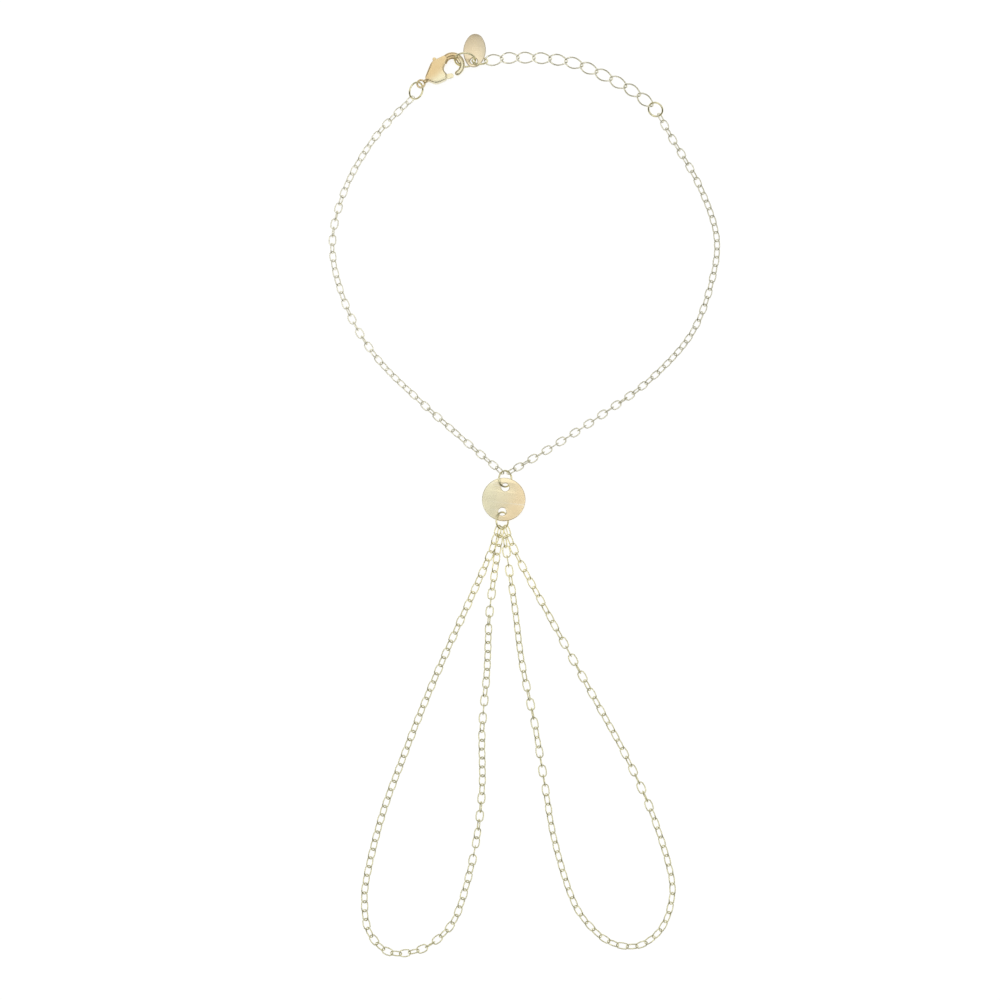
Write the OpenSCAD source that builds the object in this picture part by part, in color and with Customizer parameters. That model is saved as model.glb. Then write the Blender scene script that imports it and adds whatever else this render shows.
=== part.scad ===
// Hand chain bracelet laid flat: a wrist chain with clasp and extender, a small disc, and two finger loops.
// Lengths are in millimetres. Z = 0 is the surface that it lies on, and the wrist end points to +Y.

/* [Wrist chain] */
// Diameter of the fine chains' wire
chain_wire_d = 0.26; // [0.22:0.02:0.28]
// Outer width of a wrist chain link
wrist_link_w = 1.7; // [1.5:0.1:2.1]
// Distance from one wrist chain link to the next
wrist_pitch = 1.65; // [1.5:0.05:2]
// Free play between two wires that hook into each other
link_play = 0.18; // [0.16:0.01:0.2]

/* [Finger loops] */
// Outer width of a finger chain link
finger_link_w = 1.75; // [1.5:0.05:2]
// Width of a finger strand where it hangs on its ring
finger_end_w = 0.6; // [0.5:0.05:0.65]

/* [Extender] */
// Diameter of the extender's wire
extender_wire_d = 0.32; // [0.28:0.02:0.34]
// Outer width of an extender link
extender_link_w = 2.45; // [2.3:0.05:2.6]
// Distance from one extender link to the next
extender_pitch = 3.25; // [3:0.05:3.6]
// Free play between the wires of two extender links
extender_play = 0.24; // [0.2:0.02:0.26]

/* [Jump rings] */
// Diameter of the jump rings' wire
ring_wire_d = 0.38; // [0.32:0.02:0.4]
// Outer diameter of the ring in the clasp's eyelet
clasp_ring_d = 3.8; // [3.6:0.1:4.2]
// Outer diameter of the ring through the hook and the tag
tag_ring_d = 4.5; // [4.2:0.1:4.6]
// Outer diameter of the ring between the tag and the extender
start_ring_d = 3.4; // [3.2:0.1:3.7]
// Outer diameter of the ring between the extender and the wrist chain
end_ring_d = 3.3; // [3.1:0.1:3.6]
// Outer diameter of the ring in the disc's upper hole
disc_ring_top_d = 3.6; // [3.4:0.1:4]
// Outer diameter of the ring in the disc's lower hole
disc_ring_bottom_d = 3.8; // [3.6:0.1:4.2]

/* [Disc] */
// Diameter of the disc
disc_d = 8.7; // [8:0.1:10]
// Thickness of the disc
disc_t = 0.4; // [0.3:0.05:0.45]
// Diameter of the disc's two holes
disc_hole_d = 1.6; // [1.5:0.1:1.8]
// Width of metal between a hole and the disc's edge
disc_rim = 1.1; // [0.9:0.1:1.3]

/* [Tag] */
// Width of the oval tag
tag_w = 4.5; // [4.2:0.1:5]
// Length of the oval tag
tag_l = 7.2; // [6.8:0.1:7.8]
// Thickness of the tag
tag_t = 0.4; // [0.35:0.05:0.5]
// Diameter of the tag's hole
tag_hole_d = 1.4; // [1.4:0.1:1.6]
// Width of metal between the hole and the tag's end
tag_rim = 0.6; // [0.5:0.1:0.8]

/* [Clasp] */
// Thickness of the clasp's body
clasp_t = 2.5; // [2.4:0.1:2.8]
// Diameter of the hook's round bar
hook_bar_d = 1.06; // [0.9:0.02:1.1]
// Diameter of the bead that thickens the hook on its inside
hook_bead_d = 0.8; // [0.7:0.05:0.85]
// Diameter of the eyelet's round wire
eyelet_wire_d = 0.4; // [0.35:0.05:0.5]
// Diameter of the eyelet's hole
eyelet_hole_d = 1.1; // [1.1:0.05:1.2]
// Thickness of the lever
lever_t = 0.8; // [0.6:0.1:1]
// Space above and below the lever in its slot
lever_side_gap = 0.1; // [0.08:0.02:0.15]
// Diameter of the rivet that the lever turns on
pin_d = 0.7; // [0.6:0.05:0.8]
// Radial space between the rivet and the lever
pin_gap = 0.05; // [0.03:0.01:0.08]
// How far the lever opens, in degrees
lever_travel = 28; // [20:1:30]

/* [Hidden] */

// Facets of the exact round shapes, of the clasp's small ones, and of the meshed wires
$fn = 48;
small_facets = 32;
link_sides = 10;
chain_wire_sides = 5;
extender_link_sides = 12;
extender_wire_sides = 6;
strand_sides = 8;

// Routes of the four strands, as few chosen points, and the extender's line
route_wrist_left = [
    [-30.0, 71.5], [-36.0, 61.0], [-38.45, 49.5], [-35.5, 37.5], [-29.5, 27.5], [-21.0, 19.0], [-12.0, 11.0]
];
route_wrist_right = [
    [29.5, 71.5], [35.0, 62.0], [38.4, 52.0], [37.5, 43.0],
    [33.5, 32.5], [25.5, 23.5], [16.0, 16.5], [6.0, 10.0]
];
route_extender = [[-3.0, 87.5], [3.5, 87.5], [10.0, 86.5], [16.0, 84.0], [21.5, 81.0]];
route_finger_left = [
    [-7.0, -12.0], [-10.5, -20.0], [-15.5, -31.0], [-20.0, -41.5], [-24.5, -53.0], [-28.5, -64.0],
    [-31.5, -76.0], [-32.0, -82.0], [-31.0, -87.5], [-27.0, -91.4], [-21.0, -90.9], [-16.0, -87.5],
    [-13.0, -82.5], [-10.0, -71.0], [-8.5, -59.0], [-8.5, -47.0], [-7.5, -35.0], [-7.0, -23.5], [-5.5, -12.0]
];
route_finger_right = [
    [-3.5, -12.0], [-2.0, -22.0], [-0.5, -33.5], [2.0, -45.5], [4.0, -57.5], [6.0, -69.0], [9.5, -80.5],
    [13.0, -86.0], [17.5, -89.5], [23.0, -90.0], [27.5, -86.5], [29.5, -80.5], [29.0, -74.5], [25.5, -63.5],
    [20.5, -52.5], [14.5, -41.5], [9.0, -31.5], [3.0, -20.5], [-1.5, -12.0]
];

// Places: the disc's centre, the clasp's eyelet and the direction of each
disc_at = [-4.15, -0.8];
disc_turn = -7;
clasp_at = [-20.7, 82.3];
clasp_turn = 29;
tag_turn = -4;

// Turned places of the rings, as the direction of the axis that they lean on and how far they lean
clasp_ring_turn = 62;
clasp_ring_lean = 48;
tag_ring_turn = -2;
tag_ring_lean = 58;
start_ring_turn = -2;
start_ring_lean = -56;
end_ring_turn = -35;
end_ring_lean = 35;
end_ring_at = [26.2, 77.2];
disc_ring_turn = 90;
disc_ring_top_lean = 39;
disc_ring_bottom_lean = 46;

// Where each ring sits in the hole or hook that it passes through
hooked_at = [8.12, 0.42];
ring_in_hole = 0.1;

// Link rolls in degrees at a chain's first and last link, the sway between them, the ripple on it,
// and how many times the ripple comes
rolls_wrist_left = [40, 60, -28, -18, 4];
rolls_wrist_right = [122, 62, 38, -10, 3];
rolls_extender = [0, 0, 0, 0, 0];

// How far a twisted link narrows towards its ends, and the room under a link that lies on the surface
link_point = 0.3;
rest_room = 0.01;

// How curves are divided, and how far strands take to settle and to widen
curve_steps = 8;
strand_steps = 2;
end_rise = 10;
strand_gap = 0.2;
strand_gather = 9;

// The clasp's plan, from its eyelet along its length and across it
hook_at = [7.35, 0.3];
hook_outer_r = 2.5;
hook_r = hook_outer_r - hook_bar_d / 2;
hook_nose = -88;
hook_root = 140;
hook_bead_r = 1.5;
hook_bead_end = -12;
hook_bead_root = 145;
pivot_at = [4.4, 0];
body_circles = [[1.9, 0.3, 0.65], [3.4, -0.2, 1.5], [4.6, 0.45, 2.25], [6.4, 2.0, 0.6]];
dome_at = [4.1, 0.35];
dome_r = 4.5;
dome_over = 0.15;
opening_circle = [6.45, -0.15, 1.15];
gate_cut = [[4.75, -2.6], [5.3, -0.9], [7.6, -0.9], [7.6, -2.6]];
neck_r = 0.42;
neck_end = 2.2;
thumb_at = [4.71, 2.93];
thumb_r = 0.4;
knee_at = [5.08, -1.2];
knee_r = 0.5;
tip_at = [6.1, -1.56];
tip_r = 0.46;
hub_r = 0.9;
slot_room = 0.1;
pin_seat = 0.02;

// The tag's end arcs as a share of its width, and how far a cutter stands out of what it cuts
tag_end_share = 0.36;
cutter_over = 1;
full_turn = 360;

// Helpers
function unit(v) = v / norm(v);
function smooth(t) = let (c = min(max(t, 0), 1)) c * c * (3 - 2 * c);
function turned(v, az) = [v.x * cos(az) - v.y * sin(az), v.x * sin(az) + v.y * cos(az), v.z];
function leaned(v, lean) = [v.x, v.y * cos(lean) - v.z * sin(lean), v.y * sin(lean) + v.z * cos(lean)];

// A ring is [centre, turn, lean, outer diameter]
RING_AT = 0;
RING_TURN = 1;
RING_LEAN = 2;
RING_D = 3;
function ring_radius(d) = (d - ring_wire_d) / 2;
function ring_height(d, lean) = ring_radius(d) * abs(sin(lean)) + ring_wire_d / 2;
function ring_arm(d, turn, lean, angle) =
    turned(leaned(ring_radius(d) * [cos(angle), sin(angle), 0], lean), turn);
function ring_point(ring, angle) =
    ring[RING_AT] + ring_arm(ring[RING_D], ring[RING_TURN], ring[RING_LEAN], angle);
// How far round a ring, from its level line, a height is reached
function ring_angle(d, lean, height) =
    asin((height - ring_height(d, lean)) / (ring_radius(d) * sin(lean)));
function ring_around(place, turn, lean, d) = [[place.x, place.y, ring_height(d, lean)], turn, lean, d];
// The ring whose point at an angle lies at a place in plan, resting on the surface
function ring_through(place, angle, turn, lean, d) =
    let (arm = ring_arm(d, turn, lean, angle))
    [[place.x - arm.x, place.y - arm.y, ring_height(d, lean)], turn, lean, d];

// Catmull-Rom curve through a route, and a place along it
function curve_point(p, i, t) =
    let (a = p[max(i - 1, 0)], b = p[i], c = p[i + 1], d = p[min(i + 2, len(p) - 1)])
    0.5 * (2 * b + (c - a) * t + (2 * a - 5 * b + 4 * c - d) * t * t + (3 * b - a - 3 * c + d) * t * t * t);
function curve(p, steps) = [
    for (i = [0:len(p) - 2]) for (k = [0:steps - 1]) curve_point(p, i, k / steps),
    p[len(p) - 1]
];
function runs(c) = [
    for (i = 0, s = 0; i < len(c); i = i + 1, s = s + (i < len(c) ? norm(c[i] - c[i - 1]) : 0)) s
];
function column(run, c, axis) = [for (i = [0:len(c) - 1]) [run[i], c[i][axis]]];

// Closed wire shapes: a list of [point, outward direction]
POINT = 0;
OUTWARD = 1;
function oval_shape(l, w, sides) = [
    for (j = [0:sides - 1])
        let (
            t = full_turn * j / sides,
            end_r = w / 2 / cos(sides % 4 == 2 ? 180 / sides : 0),
            shift = (l - w) / 2 * sign(round(1000 * cos(t)))
        )
        [[shift + w / 2 * cos(t), end_r * sin(t), 0], [cos(t), sin(t), 0]]
];
function twisted_shape(l, w, sides) = [
    for (j = [0:sides - 1])
        let (
            t = full_turn * j / sides,
            narrowed = 1 - link_point * cos(t) * cos(t)
        )
        [[l / 2 * cos(t), w / 2 * sin(t) * narrowed, -w / 4 * sin(2 * t)], [w * cos(t), l * sin(t), 0]]
];
function shape_wire(shape, wire_d, wire_sides) = [
    for (j = [0:len(shape) - 1])
        let (
            n = len(shape),
            along = unit(shape[(j + 1) % n][POINT] - shape[(j + n - 1) % n][POINT]),
            out = shape[j][OUTWARD],
            side = unit(out - (out * along) * along),
            up = cross(along, side)
        )
        for (k = [0:wire_sides - 1])
            let (a = full_turn * k / wire_sides)
            shape[j][POINT] + wire_d / 2 * (cos(a) * side + sin(a) * up)
];
function loop_faces(first, n, m) = [
    for (j = [0:n - 1]) for (k = [0:m - 1])
        let (
            a = j * m + k,
            b = j * m + (k + 1) % m,
            c = ((j + 1) % n) * m + (k + 1) % m,
            d = ((j + 1) % n) * m + k
        )
        each [[first + a, first + c, first + b], [first + a, first + d, first + c]]
];

// Places of a chain's links between the two wires that its end links hang on
function end_seat(pitch, play) = (pitch - play - ring_wire_d) / 2;
// An odd number of links, so that both end links lie the same way in their rings
function link_count(length, pitch, play) =
    2 * round((length - 2 * end_seat(pitch, play)) / (2 * pitch)) + 1;
function link_spacing(length, pitch, play) =
    (length - 2 * end_seat(pitch, play)) / (link_count(length, pitch, play) - 1);
function link_roll(rolls, i, n) =
    let (share = i / (n - 1))
    rolls[0] + (rolls[1] - rolls[0]) * share + rolls[2] * sin(180 * share)
    + rolls[3] * sin(full_turn * rolls[4] * share);
function no_lower(p, limit) = [p.x, p.y, max(p.z, limit.z)];
// Half the height of a link above the surface, where a twisted link lies flat
function rest_height(w, wire_d, roll, twisted) =
    (w - wire_d) / 2 * (twisted ? 0.5 : max(abs(sin(roll)), abs(cos(roll)))) + wire_d / 2 + rest_room;
// Height of a link's centre: it lies on the surface, and rises to a wire that is higher at either end
function settled(rest, start, end, s, length) =
    rest + max(start - rest, 0) * smooth(1 - s / end_rise)
    + max(end - rest, 0) * smooth(1 - (length - s) / end_rise);
function link_centres(line, run, start_z, end_z, pitch, play, w, wire_d, rolls, twisted) =
    let (
        length = run[len(run) - 1],
        n = link_count(length, pitch, play),
        spacing = link_spacing(length, pitch, play),
        xs = column(run, line, 0),
        ys = column(run, line, 1)
    )
    [
        for (i = [0:n - 1])
            let (
                s = end_seat(pitch, play) + i * spacing,
                rest = rest_height(w, wire_d, link_roll(rolls, i, n), twisted)
            )
            [lookup(s, xs), lookup(s, ys), settled(rest, start_z, end_z, s, length)]
    ];
// One link's points, turned from its own frame to its place in the chain
function placed(points, at, along, roll) =
    let (
        level = unit(cross([0, 0, 1], along)),
        upright = cross(along, level),
        across = cos(roll) * level + sin(roll) * upright,
        through = cross(along, across)
    )
    [for (p = points) at + p.x * along + p.y * across + p.z * through];

// A loose link chain between two points on rings
module chain(start, route, end, pitch, play, w, wire_d, rolls, cross_turn, twisted, sides, wire_sides) {
    line = curve(concat([[start.x, start.y]], route, [[end.x, end.y]]), curve_steps);
    run = runs(line);
    centres = link_centres(line, run, start.z, end.z, pitch, play, w, wire_d, rolls, twisted);
    n = len(centres);
    l = link_spacing(run[len(run) - 1], pitch, play) + 2 * wire_d + play;
    shape = twisted
        ? twisted_shape(l - wire_d, w - wire_d, sides)
        : oval_shape(l - wire_d, w - wire_d, sides);
    wire = shape_wire(shape, wire_d, wire_sides);
    stations = concat([no_lower(start, centres[0])], centres, [no_lower(end, centres[n - 1])]);
    points = [
        for (i = [0:n - 1])
            each placed(
                wire, centres[i], unit(stations[i + 2] - stations[i]),
                link_roll(rolls, i, n) - cross_turn * (i % 2)
            )
    ];
    faces = [for (i = [0:n - 1]) each loop_faces(i * len(wire), sides, wire_sides)];
    polyhedron(points, faces);
}

// A closed strand between two points on one ring, which narrows to its ends
module strand(start, route, end, w) {
    line = curve(concat([[start.x, start.y]], route, [[end.x, end.y]]), strand_steps);
    run = runs(line);
    length = run[len(run) - 1];
    first = ring_wire_d / 2 + strand_gap;
    cut_run = [for (s = run) min(max(s, first), length - first)];
    xs = column(run, line, 0);
    ys = column(run, line, 1);
    radii = [
        for (s = cut_run)
            (finger_end_w + (w - finger_end_w) * smooth(min(s, length - s) / strand_gather)) / 2
    ];
    centres = [
        for (i = [0:len(line) - 1])
            let (s = cut_run[i])
            [lookup(s, xs), lookup(s, ys), settled(radii[i], start.z, end.z, s, length)]
    ];
    n = len(centres);
    points = [
        for (i = [0:n - 1])
            let (
                along = unit(centres[min(i + 1, n - 1)] - centres[max(i - 1, 0)]),
                level = unit(cross([0, 0, 1], along)),
                upright = cross(along, level)
            )
            for (k = [0:strand_sides - 1])
                let (a = full_turn * (k + 0.5) / strand_sides)
                centres[i] + radii[i] / cos(180 / strand_sides) * (cos(a) * level + sin(a) * upright)
    ];
    faces = concat(
        [
            for (i = [0:n - 2]) for (k = [0:strand_sides - 1])
                let (
                    a = i * strand_sides + k,
                    b = i * strand_sides + (k + 1) % strand_sides
                )
                each [[a, b + strand_sides, b], [a, a + strand_sides, b + strand_sides]]
        ],
        [[for (k = [0:strand_sides - 1]) k]],
        [[for (k = [strand_sides - 1:-1:0]) (n - 1) * strand_sides + k]]
    );
    polyhedron(points, faces);
}

module jump_ring(ring) {
    color("burlywood")
        translate(ring[RING_AT]) rotate([0, 0, ring[RING_TURN]]) rotate([ring[RING_LEAN], 0, 0])
            rotate_extrude() translate([ring_radius(ring[RING_D]), 0]) circle(d = ring_wire_d);
}

// The rings' places
along_clasp = [cos(clasp_turn), sin(clasp_turn)];
across_clasp = [-sin(clasp_turn), cos(clasp_turn)];
function on_clasp(p) = clasp_at + p.x * along_clasp + p.y * across_clasp;
clasp_ring = ring_through(
    clasp_at, ring_angle(clasp_ring_d, clasp_ring_lean, clasp_t / 2),
    clasp_ring_turn, clasp_ring_lean, clasp_ring_d
);
tag_ring = ring_through(
    on_clasp(hooked_at), 180 - ring_angle(tag_ring_d, tag_ring_lean, clasp_t / 2),
    tag_ring_turn, tag_ring_lean, tag_ring_d
);
// Two rings pass through the tag's hole side by side, which lies between their heights
tag_hole_z = (ring_height(tag_ring_d, tag_ring_lean) + ring_height(start_ring_d, start_ring_lean)) / 2;
tag_ring_end = ring_point(tag_ring, ring_angle(tag_ring_d, tag_ring_lean, tag_hole_z));
start_ring = ring_through(
    [tag_ring_end.x - (ring_wire_d + link_play), tag_ring_end.y],
    180 - ring_angle(start_ring_d, start_ring_lean, tag_hole_z),
    start_ring_turn, start_ring_lean, start_ring_d
);
end_ring = ring_around(end_ring_at, end_ring_turn, end_ring_lean, end_ring_d);
hole_reach = disc_d / 2 - disc_rim - disc_hole_d / 2;
function disc_hole(side) = disc_at + side * hole_reach * [-sin(disc_turn), cos(disc_turn)];
disc_ring_top = ring_through(
    disc_hole(1) + [0, ring_in_hole], 180, disc_ring_turn, disc_ring_top_lean, disc_ring_top_d
);
disc_ring_bottom = ring_through(
    disc_hole(-1) - [0, ring_in_hole], 0, disc_ring_turn, disc_ring_bottom_lean, disc_ring_bottom_d
);

module chain_wrist_left() {
    color("wheat")
        chain(
            ring_point(clasp_ring, 180), route_wrist_left, ring_point(disc_ring_top, 34),
            wrist_pitch, link_play, wrist_link_w, chain_wire_d, rolls_wrist_left, 90, false,
            link_sides, chain_wire_sides
        );
}

module chain_wrist_right() {
    color("wheat")
        chain(
            ring_point(end_ring, -24), route_wrist_right, ring_point(disc_ring_top, -38),
            wrist_pitch, link_play, wrist_link_w, chain_wire_d, rolls_wrist_right, 90, false,
            link_sides, chain_wire_sides
        );
}

module extender_chain() {
    color("tan")
        chain(
            ring_point(start_ring, 0), route_extender, ring_point(end_ring, 170),
            extender_pitch, extender_play, extender_link_w, extender_wire_d, rolls_extender, 0, true,
            extender_link_sides, extender_wire_sides
        );
}

module extender_start_ring() jump_ring(start_ring);
module extender_end_ring() jump_ring(end_ring);
module disc_ring_top() jump_ring(disc_ring_top);
module disc_ring_bottom() jump_ring(disc_ring_bottom);
module clasp_ring() jump_ring(clasp_ring);
module tag_ring() jump_ring(tag_ring);

module finger_loop_left() {
    color("wheat")
        strand(
            ring_point(disc_ring_bottom, 144), route_finger_left,
            ring_point(disc_ring_bottom, 168), finger_link_w
        );
}

module finger_loop_right() {
    color("wheat")
        strand(
            ring_point(disc_ring_bottom, 192), route_finger_right,
            ring_point(disc_ring_bottom, 216), finger_link_w
        );
}

// The disc leans a little, because its two rings hold its holes at their own heights
module disc() {
    low = disc_ring_top[RING_AT].z;
    high = disc_ring_bottom[RING_AT].z;
    color("navajowhite")
        translate([disc_at.x, disc_at.y, (low + high) / 2])
            rotate([0, 0, disc_turn]) rotate([-asin((high - low) / (2 * hole_reach)), 0, 0])
                difference() {
                    cylinder(d = disc_d, h = disc_t, center = true);
                    for (side = [-1, 1])
                        translate([0, side * hole_reach, 0])
                            cylinder(d = disc_hole_d, h = disc_t + cutter_over, center = true);
                }
}

// An oval plate of four arcs that meet smoothly
module oval_plate(w, l, t) {
    end_r = tag_end_share * w;
    end_y = l / 2 - end_r;
    side_x = (end_y * end_y - (w / 2 - end_r) * (w / 2 - end_r)) / (w - 2 * end_r);
    side_r = w / 2 + side_x;
    meet_y = side_r * end_y / (side_r - end_r);
    for (side = [-1, 1]) translate([0, side * end_y, 0]) cylinder(r = end_r, h = t);
    intersection() {
        translate([-side_x, 0, 0]) cylinder(r = side_r, h = t);
        translate([side_x, 0, 0]) cylinder(r = side_r, h = t);
        translate([-w / 2, -meet_y, 0]) cube([w, 2 * meet_y, t]);
    }
}

// The tag's far end lies on the surface, and its hole hangs on its ring
module tag() {
    reach = tag_l - tag_rim - tag_hole_d / 2;
    hole = [tag_ring_end.x - (ring_wire_d + link_play) / 2, tag_ring_end.y, tag_hole_z];
    slope = asin((hole.z - tag_t / 2) / reach);
    color("burlywood")
        translate(hole) rotate([0, 0, tag_turn]) rotate([-slope, 0, 0])
            difference() {
                translate([0, tag_l / 2 - tag_rim - tag_hole_d / 2, -tag_t / 2])
                    oval_plate(tag_w, tag_l, tag_t);
                cylinder(d = tag_hole_d, h = tag_t + cutter_over, center = true);
            }
}

// Places a shape drawn along the clasp, at the clasp's height
module in_clasp() {
    translate([clasp_at.x, clasp_at.y, 0]) rotate([0, 0, clasp_turn]) children();
}
module disc_2d(c) translate([c.x, c.y]) circle(r = c[2], $fn = small_facets);

module clasp_slot() {
    translate([0, 0, clasp_t / 2 - lever_t / 2 - lever_side_gap])
        linear_extrude(lever_t + 2 * lever_side_gap) {
            translate(pivot_at) circle(r = hub_r + slot_room);
            hull() for (a = [0, lever_travel]) translate(pivot_at) rotate(a) {
                translate(thumb_at - pivot_at) circle(r = thumb_r + slot_room, $fn = small_facets);
                circle(r = thumb_r + slot_room, $fn = small_facets);
            }
            hull() for (a = [0, lever_travel]) translate(pivot_at) rotate(a) {
                translate(knee_at - pivot_at) circle(r = knee_r + slot_room, $fn = small_facets);
                circle(r = knee_r + slot_room, $fn = small_facets);
            }
        }
}

// A round bar bent about the hook's middle, from the body to a ball end
module hook_bar(r, d, root, end) {
    translate([hook_at.x, hook_at.y, clasp_t / 2]) {
        rotate([0, 0, end]) rotate_extrude(angle = root - end) translate([r, 0]) circle(d = d);
        translate([r * cos(end), r * sin(end), 0]) sphere(d = d);
    }
}

module clasp_body() {
    color("khaki") in_clasp() {
        difference() {
            intersection() {
                linear_extrude(clasp_t) difference() {
                    hull() for (c = body_circles) disc_2d(c);
                    translate(hook_at) circle(r = hook_outer_r - hook_bar_d);
                    disc_2d(opening_circle);
                    polygon(gate_cut);
                }
                for (side = [-1, 1])
                    translate([dome_at.x, dome_at.y, clasp_t / 2 + side * (dome_r - clasp_t / 2 - dome_over)])
                        sphere(r = dome_r);
            }
            clasp_slot();
            translate([pivot_at.x, pivot_at.y, -cutter_over])
                cylinder(d = pin_d + 2 * pin_seat, h = clasp_t + 2 * cutter_over);
        }
        hook_bar(hook_r, hook_bar_d, hook_root, hook_nose);
        hook_bar(hook_bead_r, hook_bead_d, hook_bead_root, hook_bead_end);
        translate([0, 0, clasp_t / 2]) {
            rotate_extrude() translate([(eyelet_hole_d + eyelet_wire_d) / 2, 0]) circle(d = eyelet_wire_d);
            translate([(eyelet_hole_d + eyelet_wire_d) / 2, 0, 0]) rotate([0, 90, 0])
                cylinder(r = neck_r, h = neck_end - (eyelet_hole_d + eyelet_wire_d) / 2);
        }
    }
}

// The lever turns on the rivet: pulled back by its thumb end, its arm swings into the hook
module clasp_lever() {
    color("gold") in_clasp() translate([0, 0, clasp_t / 2 - lever_t / 2])
        difference() {
            linear_extrude(lever_t) {
                translate(pivot_at) circle(r = hub_r);
                hull() {
                    disc_2d([thumb_at.x, thumb_at.y, thumb_r]);
                    disc_2d([pivot_at.x, pivot_at.y, thumb_r]);
                }
                hull() {
                    disc_2d([pivot_at.x, pivot_at.y, knee_r]);
                    disc_2d([knee_at.x, knee_at.y, knee_r]);
                }
                hull() {
                    disc_2d([knee_at.x, knee_at.y, knee_r]);
                    disc_2d([tip_at.x, tip_at.y, tip_r]);
                }
            }
            translate([pivot_at.x, pivot_at.y, -cutter_over])
                cylinder(d = pin_d + 2 * pin_gap, h = lever_t + 2 * cutter_over);
        }
}

module clasp_pin() {
    color("khaki") in_clasp() translate([pivot_at.x, pivot_at.y, 0]) cylinder(d = pin_d, h = clasp_t);
}

chain_wrist_left();
chain_wrist_right();
extender_chain();
extender_start_ring();
extender_end_ring();
finger_loop_left();
finger_loop_right();
disc();
disc_ring_top();
disc_ring_bottom();
clasp_body();
clasp_lever();
clasp_pin();
clasp_ring();
tag();
tag_ring();
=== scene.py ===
"""Looks of a hand chain bracelet laid flat: chains, jump rings, clasp, disc and tag in pale gold plate."""
import sys
import logging
import math
from dataclasses import dataclass, field
from enum import Enum
from typing import Callable, Sequence

import bmesh
import bpy
from bpy.types import ID, Material, Node, NodeOutputs, NodeSocket, NodeTree, Object
from mathutils import Matrix, Vector


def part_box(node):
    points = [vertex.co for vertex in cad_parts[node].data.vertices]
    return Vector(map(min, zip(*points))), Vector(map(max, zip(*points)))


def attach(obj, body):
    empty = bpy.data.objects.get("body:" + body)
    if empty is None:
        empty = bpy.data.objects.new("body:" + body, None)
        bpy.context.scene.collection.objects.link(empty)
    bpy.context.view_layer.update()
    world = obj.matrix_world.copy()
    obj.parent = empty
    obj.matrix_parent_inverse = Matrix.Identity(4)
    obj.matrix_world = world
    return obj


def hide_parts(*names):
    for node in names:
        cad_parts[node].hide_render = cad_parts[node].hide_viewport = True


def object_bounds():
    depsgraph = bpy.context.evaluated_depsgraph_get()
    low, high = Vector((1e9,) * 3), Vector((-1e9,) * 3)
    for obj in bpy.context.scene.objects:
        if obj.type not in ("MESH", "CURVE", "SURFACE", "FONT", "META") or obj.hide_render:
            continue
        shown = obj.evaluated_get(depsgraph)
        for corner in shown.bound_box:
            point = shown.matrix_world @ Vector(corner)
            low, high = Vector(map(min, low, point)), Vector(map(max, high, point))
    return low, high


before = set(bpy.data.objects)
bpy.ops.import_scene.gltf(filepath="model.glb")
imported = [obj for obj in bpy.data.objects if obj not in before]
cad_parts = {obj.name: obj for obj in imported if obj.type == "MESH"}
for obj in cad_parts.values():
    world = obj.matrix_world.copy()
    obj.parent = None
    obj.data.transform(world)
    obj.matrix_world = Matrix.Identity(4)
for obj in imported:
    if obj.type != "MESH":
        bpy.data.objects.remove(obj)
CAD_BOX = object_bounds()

log = logging.getLogger("bracelet")

Pair = tuple[float, float]
Triple = tuple[float, float, float]

MM = 0.001
BODY = "bracelet"
LEVER_BODY = "lever"

# Sizes that several pieces share, in millimetres, as in the part's source
RING_WIRE = 0.38
CHAIN_WIRE = 0.26
EXTENDER_WIRE = 0.32
LINK_PLAY = 0.18
EXTENDER_PLAY = 0.24
END_RISE = 10.0
REST_ROOM = 0.01
LINK_POINT = 0.3
CURVE_STEPS = 8

# Points nearer than this are one point, in metres
MERGE_NEAR = 1e-7

# Chosen route points in plan, in millimetres, as in the part's source
ROUTE_WRIST_LEFT = [
    (-30.0, 71.5), (-36.0, 61.0), (-38.45, 49.5), (-35.5, 37.5), (-29.5, 27.5), (-21.0, 19.0), (-12.0, 11.0)
]
ROUTE_WRIST_RIGHT = [
    (29.5, 71.5), (35.0, 62.0), (38.4, 52.0), (37.5, 43.0),
    (33.5, 32.5), (25.5, 23.5), (16.0, 16.5), (6.0, 10.0)
]
ROUTE_EXTENDER = [(-3.0, 87.5), (3.5, 87.5), (10.0, 86.5), (16.0, 84.0), (21.5, 81.0)]
ROUTE_FINGER_LEFT = [
    (-7.0, -12.0), (-10.5, -20.0), (-15.5, -31.0), (-20.0, -41.5), (-24.5, -53.0), (-28.5, -64.0),
    (-31.5, -76.0), (-32.0, -82.0), (-31.0, -87.5), (-27.0, -91.4), (-21.0, -90.9), (-16.0, -87.5),
    (-13.0, -82.5), (-10.0, -71.0), (-8.5, -59.0), (-8.5, -47.0), (-7.5, -35.0), (-7.0, -23.5), (-5.5, -12.0)
]
ROUTE_FINGER_RIGHT = [
    (-3.5, -12.0), (-2.0, -22.0), (-0.5, -33.5), (2.0, -45.5), (4.0, -57.5), (6.0, -69.0), (9.5, -80.5),
    (13.0, -86.0), (17.5, -89.5), (23.0, -90.0), (27.5, -86.5), (29.5, -80.5), (29.0, -74.5), (25.5, -63.5),
    (20.5, -52.5), (14.5, -41.5), (9.0, -31.5), (3.0, -20.5), (-1.5, -12.0)
]


class LinkStyle(Enum):
    """The two kinds of link in the piece."""

    CABLE = "plain oval links, each turned a quarter from the last"
    TWISTED = "pointed links with a twist, which all lie flat"


def smooth(t: float) -> float:
    """Eases from 0 to 1 as t does, and is level at both ends."""
    c = min(max(t, 0.0), 1.0)
    return c * c * (3 - 2 * c)


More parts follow.
